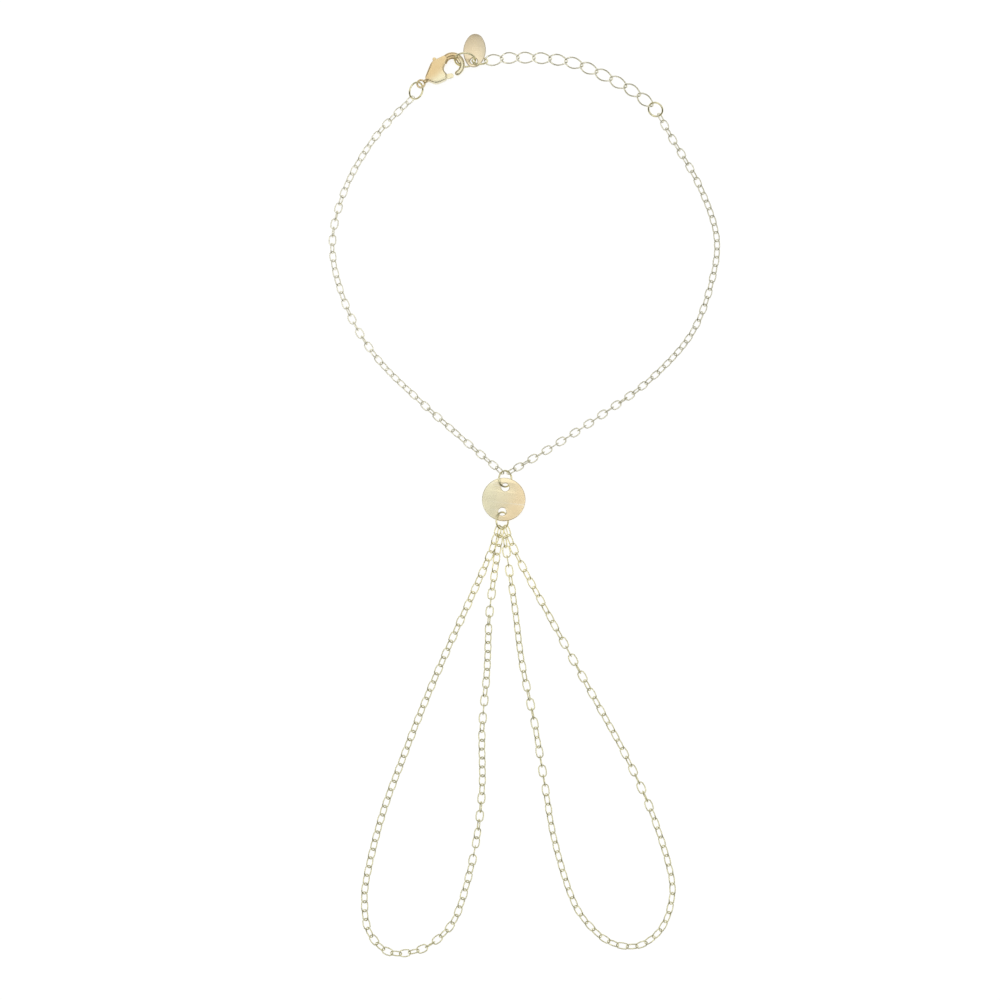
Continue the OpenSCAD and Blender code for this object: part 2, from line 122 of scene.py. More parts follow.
@dataclass(frozen=True)
class SwayingRoll:
    """Roll of a chain about its own run, in degrees, by the rule in the part's source."""

    first: float = 0.0
    last: float = 0.0
    sway: float = 0.0
    ripple: float = 0.0
    waves: int = 0

    def at(self, share: float) -> float:
        """The roll at a share of the chain's length."""
        ripple = self.ripple * math.sin(math.tau * self.waves * share)
        return self.first + (self.last - self.first) * share + self.sway * math.sin(math.pi * share) + ripple


@dataclass(frozen=True)
class ChosenRoll:
    """Roll of a chain about its own run, eased between keys: shares of its length, and degrees there."""

    keys: tuple[Pair, ...]

    def at(self, share: float) -> float:
        """The roll at a place.

        Args:
            share: Share of the chain's length.

        Returns:
            The roll in degrees.
        """
        for (a, before), (b, after) in zip(self.keys, self.keys[1:]):
            if share <= b:
                return before + (after - before) * smooth((share - a) / (b - a))
        return self.keys[-1][1]


# How the finger chains lie. Their links show wide and edge-on by turns where the roll is near 0 or 90
# degrees, and alike where it is near 45
ROLLS_FINGER_LEFT = ChosenRoll((
    (0.0, 45.0), (0.03, 60.0), (0.06, 53.0), (0.12, 60.0), (0.15, 57.0), (0.20, 51.0), (0.24, 54.0),
    (0.27, 49.0), (0.42, 47.0), (0.47, 54.0), (0.515, 52.0), (0.53, 88.0), (0.55, 60.0), (0.60, 51.0),
    (0.635, 54.0), (0.652, 90.0), (0.67, 46.0), (0.69, 0.0), (0.71, 17.0), (0.73, 43.0), (0.77, 46.0),
    (0.79, 64.0), (0.81, 90.0), (0.83, 65.0), (0.85, 47.0), (0.89, 49.0), (0.91, 85.0), (0.93, 90.0),
    (0.95, 50.0), (1.0, 45.0)
))
ROLLS_FINGER_RIGHT = ChosenRoll((
    (0.0, 30.0), (0.03, 0.0), (0.05, 20.0), (0.07, 42.0), (0.13, 44.0), (0.15, 34.0), (0.17, 20.0),
    (0.19, 0.0), (0.21, 26.0), (0.23, 50.0), (0.25, 85.0), (0.27, 85.0), (0.29, 52.0), (0.33, 47.0),
    (0.40, 43.0), (0.43, 34.0), (0.49, 28.0), (0.51, 36.0), (0.55, 44.0), (0.59, 43.0), (0.65, 38.0),
    (0.67, 12.0), (0.69, 0.0), (0.71, 18.0), (0.73, 30.0), (0.75, 44.0), (0.79, 55.0), (0.81, 61.0),
    (0.83, 81.0), (0.85, 90.0), (0.87, 69.0), (0.89, 47.0), (0.91, 33.0), (0.95, 36.0), (0.97, 18.0),
    (1.0, 40.0)
))


# Node trees

class TreeBuilder:
    """Adds nodes and links to a tree, so that each tree reads from its inputs to its output."""

    def __init__(self, tree: NodeTree) -> None:
        """Starts on an empty tree.

        Args:
            tree: The geometry or shader tree to fill.
        """
        self.tree = tree

    def add(self, kind: str, inputs: dict | None = None, **settings: object) -> Node:
        """Adds one node.

        Args:
            kind: The node's type name.
            inputs: Values or output sockets, keyed by input name or number.
            settings: Properties of the node.

        Returns:
            The new node.
        """
        node = self.tree.nodes.new(kind)
        for name, value in settings.items():
            setattr(node, name, value)
        for key, value in (inputs or {}).items():
            if isinstance(value, NodeSocket):
                self.tree.links.new(value, node.inputs[key])
            else:
                node.inputs[key].default_value = value
        return node

    def math(self, operation: str, a: object, b: object = 0.0) -> NodeSocket:
        """Adds a Math node of two inputs and returns its value socket."""
        return self.add("ShaderNodeMath", {0: a, 1: b}, operation=operation).outputs[0]

    def times(self, a: object, b: object) -> NodeSocket:
        """Adds a Math node that multiplies and returns its value socket."""
        return self.math("MULTIPLY", a, b)

    def mix(self, share: NodeSocket, a: object, b: object) -> NodeSocket:
        """Adds a Mix node, which takes its colours at 6 and 7, and returns its colour socket."""
        return self.add("ShaderNodeMix", {0: share, 6: a, 7: b}, data_type="RGBA").outputs[2]

    def noise(self, place: NodeSocket, scale: object, detail: float, roughness: float = 0.5) -> NodeSocket:
        """Adds a Noise Texture node that is read at a place, and returns its value socket."""
        made = self.add("ShaderNodeTexNoise", {
            "Vector": place, "Scale": scale, "Detail": detail, "Roughness": roughness
        })
        return made.outputs["Fac"]

    def span(
        self, value: NodeSocket, source: Pair, target: Pair = (0.0, 1.0), curve: str = "LINEAR"
    ) -> NodeSocket:
        """Adds a Map Range node from the source span to the target span, and returns its value socket."""
        made = self.add("ShaderNodeMapRange", {
            "Value": value, "From Min": source[0], "From Max": source[1],
            "To Min": target[0], "To Max": target[1]
        }, interpolation_type=curve)
        return made.outputs[0]

    def socket(self, name: str, kind: str, out: bool = False) -> None:
        """Adds a named input, or an output, of a kind such as Float to the tree's interface."""
        way = "OUTPUT" if out else "INPUT"
        self.tree.interface.new_socket(name=name, in_out=way, socket_type="NodeSocket" + kind)


class WireTrees:
    """The Geometry Nodes trees that make bent wire: links set along a chain, and jump rings."""

    TURN = "wire_turn"
    # What counts as the middle of a link, as a share of its half length
    MIDDLE = 0.001

    def __init__(self) -> None:
        """Builds both trees once."""
        self.links = self._tree("set_links", ("Length", "Width", "Twist", "Point"), self._link_curve)
        self.rings = self._tree("set_rings", ("Radius", "Start", "Seam"), self._ring_curve)

    def _tree(
        self, name: str, sizes: Sequence[str], curve: Callable[[TreeBuilder, NodeOutputs], NodeSocket]
    ) -> NodeTree:
        """Builds a tree that sets a bent wire on every point, turned by the point's own attribute.

        Args:
            name: The tree's name.
            sizes: Names of the inputs that the wire's centre line needs.
            curve: Adds the nodes of the centre line and returns their curve socket.

        Returns:
            The finished tree.
        """
        tree = bpy.data.node_groups.new(name, "GeometryNodeTree")
        build = TreeBuilder(tree)
        build.socket("Points", "Geometry")
        for size in (*sizes, "Wire"):
            build.socket(size, "Float")
        for number in ("Sides", "Wire Sides"):
            build.socket(number, "Int")
        build.socket("Finish", "Material")
        build.socket("Geometry", "Geometry", out=True)
        given = build.add("NodeGroupInput").outputs
        half_wire = build.times(given["Wire"], 0.5)
        section = build.add("GeometryNodeCurvePrimitiveCircle", {
            "Resolution": given["Wire Sides"], "Radius": half_wire
        }, mode="RADIUS")
        swept = build.add("GeometryNodeCurveToMesh", {
            "Curve": curve(build, given), "Profile Curve": section.outputs["Curve"], "Fill Caps": True
        })
        turn = build.add("GeometryNodeInputNamedAttribute", {"Name": self.TURN}, data_type="FLOAT_VECTOR")
        rotation = build.add("FunctionNodeEulerToRotation", {"Euler": turn.outputs["Attribute"]})
        placed = build.add("GeometryNodeInstanceOnPoints", {
            "Points": given["Points"], "Instance": swept.outputs["Mesh"],
            "Rotation": rotation.outputs["Rotation"]
        })
        real = build.add("GeometryNodeRealizeInstances", {"Geometry": placed.outputs["Instances"]})
        soft = build.add("GeometryNodeSetShadeSmooth", {"Geometry": real.outputs["Geometry"]})
        dressed = build.add("GeometryNodeSetMaterial", {
            "Geometry": soft.outputs["Geometry"], "Material": given["Finish"]
        })
        build.add("NodeGroupOutput", {"Geometry": dressed.outputs["Geometry"]})
        return tree

    @staticmethod
    def _link_curve(build: TreeBuilder, given: NodeOutputs) -> NodeSocket:
        """A link's centre line: a long oval, or with Twist at 1 a pointed one whose ends tilt opposite ways.

        Args:
            build: The tree's builder.
            given: The tree's inputs.

        Returns:
            The curve socket.
        """
        circle = build.add("GeometryNodeCurvePrimitiveCircle", {
            "Resolution": given["Sides"], "Radius": 1.0
        }, mode="RADIUS")
        place = build.add("ShaderNodeSeparateXYZ", {0: build.add("GeometryNodeInputPosition").outputs[0]})
        along, across = place.outputs["X"], place.outputs["Y"]
        half_w = build.times(given["Width"], 0.5)
        half_l = build.times(given["Length"], 0.5)
        twist = given["Twist"]
        off_middle = build.math("GREATER_THAN", build.math("ABSOLUTE", along), WireTrees.MIDDLE)
        side = build.times(build.math("SIGN", along), off_middle)
        straight = build.times(side, build.math("SUBTRACT", half_l, half_w))
        plain_x = build.math("ADD", build.times(along, half_w), straight)
        twisted_x = build.times(along, half_l)
        plain = build.math("SUBTRACT", 1.0, twist)
        x = build.math("ADD", build.times(plain_x, plain), build.times(twisted_x, twist))
        narrowing = build.times(given["Point"], build.times(along, along))
        narrowed = build.math("SUBTRACT", 1.0, narrowing)
        y = build.times(build.times(across, half_w), narrowed)
        tilt = build.times(build.times(along, across), twist)
        z = build.times(build.times(tilt, half_w), -1.0)
        at = build.add("ShaderNodeCombineXYZ", {"X": x, "Y": y, "Z": z})
        moved = build.add("GeometryNodeSetPosition", {
            "Geometry": circle.outputs["Curve"], "Position": at.outputs[0]
        })
        return moved.outputs["Geometry"]

    @staticmethod
    def _ring_curve(build: TreeBuilder, given: NodeOutputs) -> NodeSocket:
        """A jump ring's centre line: a circle that stays open by the hair's width of its seam.

        Args:
            build: The tree's builder.
            given: The tree's inputs.

        Returns:
            The curve socket.
        """
        arc = build.add("GeometryNodeCurveArc", {
            "Resolution": given["Sides"], "Radius": given["Radius"],
            "Start Angle": given["Start"],
            "Sweep Angle": build.math("SUBTRACT", math.tau, given["Seam"])
        }, mode="RADIUS")
        return arc.outputs["Curve"]


# Finishes

class Effects:
    """Shader node groups that the finishes share. Each reads a place and puts out colours or values."""

    # Where the values of a noise mostly lie
    NOISE_SPAN = (0.3, 0.7)
    # Drift and patches together, from the pale tone to the warm one. On the wrist chains the drift is
    # painted light and shade
    DRIFT_SPAN = (0.2, 0.8)
    PATCH_DETAIL = 2.0
    # Clouds in the plate: finer than the patches, and how much they shade
    CLOUD_FINENESS = 6.0
    CLOUD_DETAIL = 3.0
    CLOUD_SHADE = (0.96, 1.0)
    # Hairlines, and the softer peel below them
    HAIR_DETAIL = 4.0
    HAIR_ROUGHNESS = 0.7
    HAIR_SHARE = 0.35
    PEEL_DETAIL = 1.0
    PEEL_SPACING = 0.15
    # Pointiness from flat to a proud edge, and the specks that break the rub up
    PROUD_SPAN = (0.5, 0.58)
    SPECK_DETAIL = 2.0
    SPECK_SCALE = 2500.0

    def __init__(self) -> None:
        """Builds the groups once."""
        self.plating = self._plating()
        self.marks = self._marks()
        self.rub = self._rub()

    @staticmethod
    def _group(name: str) -> TreeBuilder:
        """Starts an empty shader group with the one input that all of them read.

        Args:
            name: The group's name.

        Returns:
            Its builder.
        """
        build = TreeBuilder(bpy.data.node_groups.new(name, "ShaderNodeTree"))
        build.socket("Place", "Vector")
        return build

    def _plating(self) -> NodeTree:
        """Plate whose colour drifts across the piece between two tones, with faint clouds; on the wrist
        chains the drift is painted light and shade.

        Returns:
            The finished group.
        """
        build = self._group("plating_tone")
        for colour in ("Pale", "Warm"):
            build.socket(colour, "Color")
        build.socket("Patch", "Float")
        for way in ("Middle", "Drift"):
            build.socket(way, "Vector")
        build.socket("Tone", "Color", out=True)
        build.socket("Haze", "Float", out=True)
        given = build.add("NodeGroupInput").outputs
        place, patch = given["Place"], given["Patch"]
        patches = build.noise(place, patch, self.PATCH_DETAIL)
        away = build.add("ShaderNodeVectorMath", {0: place, 1: given["Middle"]}, operation="SUBTRACT")
        across = build.add("ShaderNodeVectorMath", {
            0: away.outputs[0], 1: given["Drift"]
        }, operation="DOT_PRODUCT")
        both = build.math("ADD", across.outputs["Value"], patches)
        share = build.span(both, self.DRIFT_SPAN, curve="SMOOTHSTEP")
        mixed = build.mix(share, given["Pale"], given["Warm"])
        cloud_scale = build.times(patch, self.CLOUD_FINENESS)
        clouds = build.noise(place, cloud_scale, self.CLOUD_DETAIL)
        shade = build.span(clouds, self.NOISE_SPAN, self.CLOUD_SHADE)
        shaded = build.add("ShaderNodeVectorMath", {0: mixed, 3: shade}, operation="SCALE")
        build.add("NodeGroupOutput", {"Tone": shaded.outputs[0], "Haze": clouds})
        return build.tree

    def _marks(self) -> NodeTree:
        """Hairline polishing marks, all along one direction, with a softer orange peel below them.

        Returns:
            The finished group.
        """
        build = self._group("polishing_marks")
        build.socket("Spacing", "Float")
        build.socket("Run", "Float")
        build.socket("Height", "Float", out=True)
        given = build.add("NodeGroupInput").outputs
        place, spacing = given["Place"], given["Spacing"]
        run = build.add("ShaderNodeCombineXYZ", {"X": 1.0, "Y": given["Run"], "Z": 1.0})
        drawn = build.add("ShaderNodeVectorMath", {0: place, 1: run.outputs[0]}, operation="MULTIPLY")
        hair = build.noise(drawn.outputs[0], spacing, self.HAIR_DETAIL, self.HAIR_ROUGHNESS)
        peel_scale = build.times(spacing, self.PEEL_SPACING)
        peel = build.noise(place, peel_scale, self.PEEL_DETAIL)
        both = build.math("ADD", build.times(hair, self.HAIR_SHARE), peel)
        build.add("NodeGroupOutput", {"Height": both})
        return build.tree

    def _rub(self) -> NodeTree:
        """Where the plate is rubbed: 1 on proud edges, 0 in hollows.

        Returns:
            The finished group.
        """
        build = self._group("edge_rub")
        build.socket("Mask", "Float", out=True)
        given = build.add("NodeGroupInput").outputs
        proud = build.add("ShaderNodeNewGeometry").outputs["Pointiness"]
        edge = build.span(proud, self.PROUD_SPAN)
        specks = build.noise(given["Place"], self.SPECK_SCALE, self.SPECK_DETAIL)
        build.add("NodeGroupOutput", {"Mask": build.times(edge, specks)})
        return build.tree


@dataclass(frozen=True)
class GoldFinish:
    """A pale gold plate on brass, as one piece or kind of piece shows it.

    Patch and marks are noise scales, and run draws the marks out along Y. Relief is their strength, and
    depth is in millimetres. The warm tone grows along the drift from the middle, a place in metres. On the
    wrist chains the drift is painted light and shade: the left chain pale as lit, the right one warm and
    darker as shaded.
    """

    name: str
    pale: Triple
    warm: Triple
    rubbed: Triple
    smoothest: float = 0.12
    roughest: float = 0.24
    patch: float = 300.0
    marks: float = 6000.0
    run: float = 0.08
    relief: float = 0.15
    depth: float = 0.02
    middle: Triple = (0.0, 0.0, 0.0)
    tone_and_light_drift: Triple = (0.0, 0.0, 0.0)

    def material(self, effects: Effects) -> Material:
        """Builds the node material.

        Args:
            effects: The shared shader groups.

        Returns:
            A material whose Principled shader reads the groups.
        """
        made = bpy.data.materials.new(self.name)
        made.use_nodes = True
        made.node_tree.nodes.clear()
        build = TreeBuilder(made.node_tree)
        place = build.add("ShaderNodeTexCoord").outputs["Object"]
        plating = build.add("ShaderNodeGroup", {
            "Place": place, "Pale": (*self.pale, 1.0), "Warm": (*self.warm, 1.0), "Patch": self.patch,
            "Middle": self.middle, "Drift": self.tone_and_light_drift
        }, node_tree=effects.plating)
        marks = build.add("ShaderNodeGroup", {
            "Place": place, "Spacing": self.marks, "Run": self.run
        }, node_tree=effects.marks)
        rub = build.add("ShaderNodeGroup", {"Place": place}, node_tree=effects.rub)
        colour = build.mix(rub.outputs["Mask"], plating.outputs["Tone"], (*self.rubbed, 1.0))
        rough = build.span(plating.outputs["Haze"], Effects.NOISE_SPAN, (self.smoothest, self.roughest))
        bump = build.add("ShaderNodeBump", {
            "Height": marks.outputs["Height"], "Strength": self.relief, "Distance": self.depth * MM
        })
        shader = build.add("ShaderNodeBsdfPrincipled", {
            "Base Color": colour, "Metallic": 1.0, "Roughness": rough, "Normal": bump.outputs["Normal"]
        })
        build.add("ShaderNodeOutputMaterial", {"Surface": shader.outputs["BSDF"]})
        return made


class Finishes:
    """The finishes of the piece, from the palest chain wire to the yellow clasp."""

    # The wrist chains' drift is painted light and shade: it makes the left chain pale, as the side that the
    # light falls on, and the right one the darker warm tone
    CHAIN = GoldFinish(
        "chain_plate_and_painted_light", pale=(0.86, 0.83, 0.64), warm=(0.58, 0.56, 0.38), rubbed=(0.85, 0.82, 0.68),
        smoothest=0.16, roughest=0.28, patch=220.0, relief=0.06,
        middle=(0.0, 0.030, 0.0), tone_and_light_drift=(11.0, -4.0, 0.0)
    )
    FINGER = GoldFinish(
        "finger_plate", pale=(0.64, 0.61, 0.36), warm=(0.95, 0.86, 0.46), rubbed=(0.85, 0.81, 0.55),
        smoothest=0.16, roughest=0.28, patch=220.0, relief=0.06,
        middle=(-0.0045, -0.020, 0.0), tone_and_light_drift=(0.0, 30.0, 0.0)
    )
    RING = GoldFinish(
        "ring_plate", pale=(0.72, 0.69, 0.44), warm=(0.78, 0.71, 0.38), rubbed=(0.88, 0.82, 0.60),
        smoothest=0.12, roughest=0.22, patch=260.0, relief=0.08
    )
    DISC = GoldFinish(
        "disc_plate", pale=(0.71, 0.665, 0.45), warm=(0.80, 0.64, 0.38), rubbed=(0.80, 0.75, 0.62),
        smoothest=0.24, roughest=0.32, patch=90.0, marks=5000.0, run=0.05, relief=0.008,
        middle=(-0.0045, -0.0008, 0.0), tone_and_light_drift=(85.0, -15.0, 0.0)
    )
    TAG = GoldFinish(
        "tag_plate", pale=(0.59, 0.535, 0.39), warm=(0.645, 0.53, 0.335), rubbed=(0.80, 0.75, 0.62),
        smoothest=0.24, roughest=0.32, patch=110.0, relief=0.004,
        middle=(-0.0098, 0.0885, 0.0), tone_and_light_drift=(-60.0, 60.0, 0.0)
    )
    CLASP = GoldFinish(
        "clasp_plate", pale=(0.78, 0.72, 0.49), warm=(0.67, 0.51, 0.27), rubbed=(0.76, 0.68, 0.44),
        smoothest=0.28, roughest=0.38, patch=240.0, relief=0.03,
        middle=(-0.0168, 0.0846, 0.0), tone_and_light_drift=(-150.0, 200.0, 0.0)
    )

    def __init__(self, effects: Effects) -> None:
        """Builds one material for each finish.

        Args:
            effects: The shared shader groups.
        """
        self.chain = self.CHAIN.material(effects)
        self.finger = self.FINGER.material(effects)
        self.ring = self.RING.material(effects)
        self.disc = self.DISC.material(effects)
        self.tag = self.TAG.material(effects)
        self.clasp = self.CLASP.material(effects)


# Shared mesh work

def loose_object(name: str, data: ID) -> Object:
    """Links a new object to the scene.

    Args:
        name: The object's name.
        data: Its mesh, curve, light or camera.

    Returns:
        The new object.
    """
    made = bpy.data.objects.new(name, data)
    bpy.context.scene.collection.objects.link(made)
    return made


def plain_mesh_object(name: str, source: Object) -> Object:
    """Turns an object and its modifiers into a new plain mesh object at the origin.

    Args:
        name: The new object's name.
        source: The object with live modifiers, which is deleted.

    Returns:
        The plain object, linked to the scene.
    """
    bpy.context.view_layer.update()
    graph = bpy.context.evaluated_depsgraph_get()
    mesh = bpy.data.meshes.new_from_object(source.evaluated_get(graph), depsgraph=graph)
    source.modifiers.clear()
    bpy.data.objects.remove(source)
    mesh.name = name
    return loose_object(name, mesh)


def dress(piece: Object, finish: Material, slot: str, body: str, *nodes: str) -> None:
    """Gives a finished piece its material and its body, and hides the CAD nodes that it stands for.

    Args:
        piece: The plain mesh object.
        finish: Its material.
        slot: The record's material slot; not used.
        body: The CAD body that it rides on.
        nodes: The CAD nodes that it replaces.
    """
    piece.data.materials.clear()
    piece.data.materials.append(finish)
    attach(piece, body)
    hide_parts(*nodes)
    faces = len(piece.data.polygons)
    log.info("%s: %d faces, on %s, for %s", piece.name, faces, body, ", ".join(nodes))


def set_wire(
    tree: NodeTree, name: str, places: Sequence[Vector], turns: Sequence[Matrix], values: dict
) -> Object:
    """Sets the wire of one tree on a list of places.

    Args:
        tree: The Geometry Nodes tree.
        name: The object's name.
        places: Centres of the links or rings, in millimetres.
        turns: Their rotations.
        values: The tree's inputs by name, in metres where they are lengths.

    Returns:
        The object with its live modifier.
    """
    mesh = bpy.data.meshes.new(name)
    mesh.from_pydata([place * MM for place in places], [], [])
    turn = mesh.attributes.new(WireTrees.TURN, "FLOAT_VECTOR", "POINT")
    for entry, matrix in zip(turn.data, turns):
        entry.vector = matrix.to_euler("XYZ")
    carrier = loose_object(name, mesh)
    modifier = carrier.modifiers.new("wire", "NODES")
    modifier.node_group = tree
    sockets = {item.name: item.identifier for item in tree.interface.items_tree if item.in_out == "INPUT"}
    for key, value in values.items():
        modifier[sockets[key]] = value
    return carrier


# Jump rings

@dataclass
class JumpRing:
    """A jump ring that leans on the surface, in millimetres and degrees. Its CAD node gives its centre."""

    node: str
    turn: float
    lean: float
    outer: float
    seam_at: float = 90.0
    wire: float = RING_WIRE
    sides: int = 64
    wire_sides: int = 12
    seam: float = 0.9
    centre: Vector = field(init=False)

    def __post_init__(self) -> None:
        """Reads the ring's centre from the frame, in millimetres."""
        low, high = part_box(self.node)
        self.centre = (low + high) / 2 / MM

    @property
    def radius(self) -> float:
        """Radius of the wire's centre line."""
        return (self.outer - self.wire) / 2

    def rotation(self) -> Matrix:
        """The turn of the ring's own plane: it leans about X, and then turns about Z."""
        leant = Matrix.Rotation(math.radians(self.lean), 3, "X")
        return Matrix.Rotation(math.radians(self.turn), 3, "Z") @ leant

    def point(self, angle: float) -> Vector:
        """A place on the wire's centre line.

        Args:
            angle: Degrees round the ring from its own X.

        Returns:
            The place in millimetres.
        """
        a = math.radians(angle)
        flat = Vector((self.radius * math.cos(a), self.radius * math.sin(a), 0.0))
        return self.centre + self.rotation() @ flat

    def height_angle(self, height: float) -> float:
        """The angle past the ring's level line at which the wire reaches a height."""
        rise = self.radius * math.sin(math.radians(self.lean))
        return math.degrees(math.asin((height - self.centre.z) / rise))

    def build(self, trees: WireTrees, finish: Material) -> None:
        """Makes the ring as bent wire with a closed seam.

        Args:
            trees: The Geometry Nodes trees.
            finish: The ring's material.
        """
        source = set_wire(
            trees.rings, self.node + "_points", [self.centre], [self.rotation()],
            {"Radius": self.radius * MM, "Start": math.radians(self.seam_at + self.seam / 2),
             "Seam": math.radians(self.seam), "Wire": self.wire * MM,
             "Sides": self.sides, "Wire Sides": self.wire_sides, "Finish": finish}
        )
        piece = plain_mesh_object(self.node + "_wire", source)
        dress(piece, finish, "ring_metal", BODY, self.node)


# Chains

class Route:
    """A smooth plan curve through chosen points."""

    def __init__(self, points: Sequence[Vector]) -> None:
        """Samples the curve.

        Args:
            points: Plan points from the first ring to the last.
        """
        self.samples: list[Vector] = []
        for i in range(len(points) - 1):
            before, a, b = points[max(i - 1, 0)], points[i], points[i + 1]
            after = points[min(i + 2, len(points) - 1)]
            for k in range(CURVE_STEPS):
                t = k / CURVE_STEPS
                self.samples.append(0.5 * (
                    2 * a + (b - before) * t + (2 * before - 5 * a + 4 * b - after) * t * t
                    + (3 * a - before - 3 * b + after) * t ** 3
                ))
        self.samples.append(points[-1])
        self.runs = [0.0]
        for a, b in zip(self.samples, self.samples[1:]):
            self.runs.append(self.runs[-1] + (b - a).length)

    @property
    def length(self) -> float:
        """Length of the whole curve."""
        return self.runs[-1]

    def at(self, run: float) -> Vector:
        """The place at a distance along the curve.

        Args:
            run: The distance from its start.

        Returns:
            The place in plan.
        """
        for k in range(1, len(self.runs)):
            if run <= self.runs[k] or k == len(self.runs) - 1:
                share = (run - self.runs[k - 1]) / (self.runs[k] - self.runs[k - 1])
                return self.samples[k - 1].lerp(self.samples[k], share)
        return self.samples[-1]


@dataclass
class LinkChain:
    """A loose link chain between two points on jump rings, laid on the surface, in millimetres.

    Where a chain has some flatten, the links that show alike lie that many degrees nearer to each other.
    """

    # How far up a twisted link's sides stand, as a share of half its width
    TWIST_RISE = 0.5

    node: str
    start: Vector
    end: Vector
    route: list[Pair]
    pitch: float
    width: float
    wire: float = CHAIN_WIRE
    play: float = LINK_PLAY
    rolls: SwayingRoll | ChosenRoll = SwayingRoll()
    style: LinkStyle = LinkStyle.CABLE
    flatten: float = 0.0
    sides: int = 12
    wire_sides: int = 6

    def __post_init__(self) -> None:
        """Works out the number of links and their spacing."""
        first, last = Vector((self.start.x, self.start.y)), Vector((self.end.x, self.end.y))
        self.line = Route([first, *map(Vector, self.route), last])
        self.seat = (self.pitch - self.play - RING_WIRE) / 2
        self.count = round((self.line.length - 2 * self.seat) / self.pitch) + 1
        self.spacing = (self.line.length - 2 * self.seat) / (self.count - 1)

    @property
    def twisted(self) -> bool:
        """True where the links lie flat with a twist."""
        return self.style is LinkStyle.TWISTED

    def leans(self, i: int) -> Pair:
        """How far links lean at a place: a quarter turn apart, or less where both lie flatter.

        Args:
            i: The link's number.

        Returns:
            The leans that an even and an odd link have there, in degrees.
        """
        roll = self.rolls.at(i / (self.count - 1))
        flat = self.flatten * math.sin(math.radians(2 * roll)) ** 2
        return roll - flat / 2, roll + flat / 2 - 90

    def rest_height(self, i: int) -> float:
        """Height of a link's centre where it lies on the surface."""
        steepest = max(abs(math.sin(math.radians(lean))) for lean in self.leans(i))
        upright = self.TWIST_RISE if self.twisted else steepest
        return (self.width - self.wire) / 2 * upright + self.wire / 2 + REST_ROOM

    def centres(self) -> list[Vector]:
        """The links' centres, which rise to the ring at either end.

        Returns:
            One place for each link.
        """
        places = []
        for i in range(self.count):
            run = self.seat + i * self.spacing
            rest = self.rest_height(i)
            height = rest + max(self.start.z - rest, 0.0) * smooth(1 - run / END_RISE)
            height += max(self.end.z - rest, 0.0) * smooth(1 - (self.line.length - run) / END_RISE)
            plan = self.line.at(run)
            places.append(Vector((plan.x, plan.y, height)))
        return places

    def turns(self, centres: Sequence[Vector]) -> list[Matrix]:
        """Each link's rotation: along the chain between its neighbours, and rolled about that direction.

        Args:
            centres: The links' centres.

        Returns:
            One rotation matrix for each link.
        """
        first = Vector((self.start.x, self.start.y, max(self.start.z, centres[0].z)))
        last = Vector((self.end.x, self.end.y, max(self.end.z, centres[-1].z)))
        stations = [first, *centres, last]
        found = []
        for i in range(self.count):
            along = (stations[i + 2] - stations[i]).normalized()
            level = Vector((0.0, 0.0, 1.0)).cross(along).normalized()
            upright = along.cross(level)
            lean = math.radians(self.leans(i)[0 if self.twisted else i % 2])
            across = math.cos(lean) * level + math.sin(lean) * upright
            found.append(Matrix((along, across, along.cross(across))).transposed())
        return found

    def build(self, trees: WireTrees, finish: Material) -> None:
        """Makes the chain as real interlocking links.

        Args:
            trees: The Geometry Nodes trees.
            finish: The chain's material.
        """
        centres = self.centres()
        length = self.spacing + self.wire + self.play
        source = set_wire(
            trees.links, self.node + "_points", centres, self.turns(centres),
            {"Length": length * MM, "Width": (self.width - self.wire) * MM, "Wire": self.wire * MM,
             "Twist": float(self.twisted), "Point": LINK_POINT if self.twisted else 0.0,
             "Sides": self.sides, "Wire Sides": self.wire_sides, "Finish": finish}
        )
        piece = plain_mesh_object(self.node + "_links", source)
        log.info("%s: %d links, %.2f mm apart", self.node, self.count, self.spacing)
        dress(piece, finish, "chain_metal", BODY, self.node)


# Flat plates

